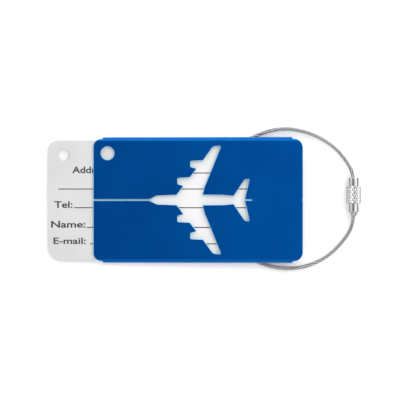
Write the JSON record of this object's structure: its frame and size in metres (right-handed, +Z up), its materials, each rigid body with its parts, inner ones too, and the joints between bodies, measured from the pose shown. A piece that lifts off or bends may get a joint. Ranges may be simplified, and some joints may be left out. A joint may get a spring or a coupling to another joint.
{
  "type": "luggage tag",
  "caption": "Folded aluminium luggage tag with an aeroplane cut-out, a slide-out name card and a wire rope loop that closes with a knurled screw clasp.",
  "frame": {"origin": "on the floor, under the middle of the box round the sleeve and the card", "axes": "+X along the tag from the card's end to the loop's end, +Y across the tag to the side with the strap holes, +Z up, away from the floor"},
  "size_m": [0.1198, 0.0544, 0.0063],
  "materials": {
    "blue_anodised": "satin blue anodised",
    "satin_card": "satin silver-white, printed",
    "wire_rope": "stranded stainless steel",
    "plated_steel": "bright nickel plate"
  },
  "bodies": {
    "sleeve": {"sleeve": "blue_anodised"},
    "card": {"name_card": "satin_card"},
    "loop": {"cable": "wire_rope", "stop_ferrule": "plated_steel", "screw_stud": "plated_steel"},
    "barrel": {"clasp_barrel": "plated_steel"}
  },
  "joints": [
    {"name": "card_slide", "type": "slide", "parent": "sleeve", "child": "card", "axis": [-0.9997, 0, -0.0227], "range_m": [-0.01675, 0.061]},
    {"name": "loop_slide", "type": "slide", "parent": "sleeve", "child": "loop", "axis": [1, 0, 0], "range_m": [0, 0.04]},
    {"name": "clasp_turn", "type": "hinge", "parent": "loop", "child": "barrel", "pos_m": [0.0682, 0.002, 0.00281], "axis": [0, 1, 0], "continuous": true}
  ]
}
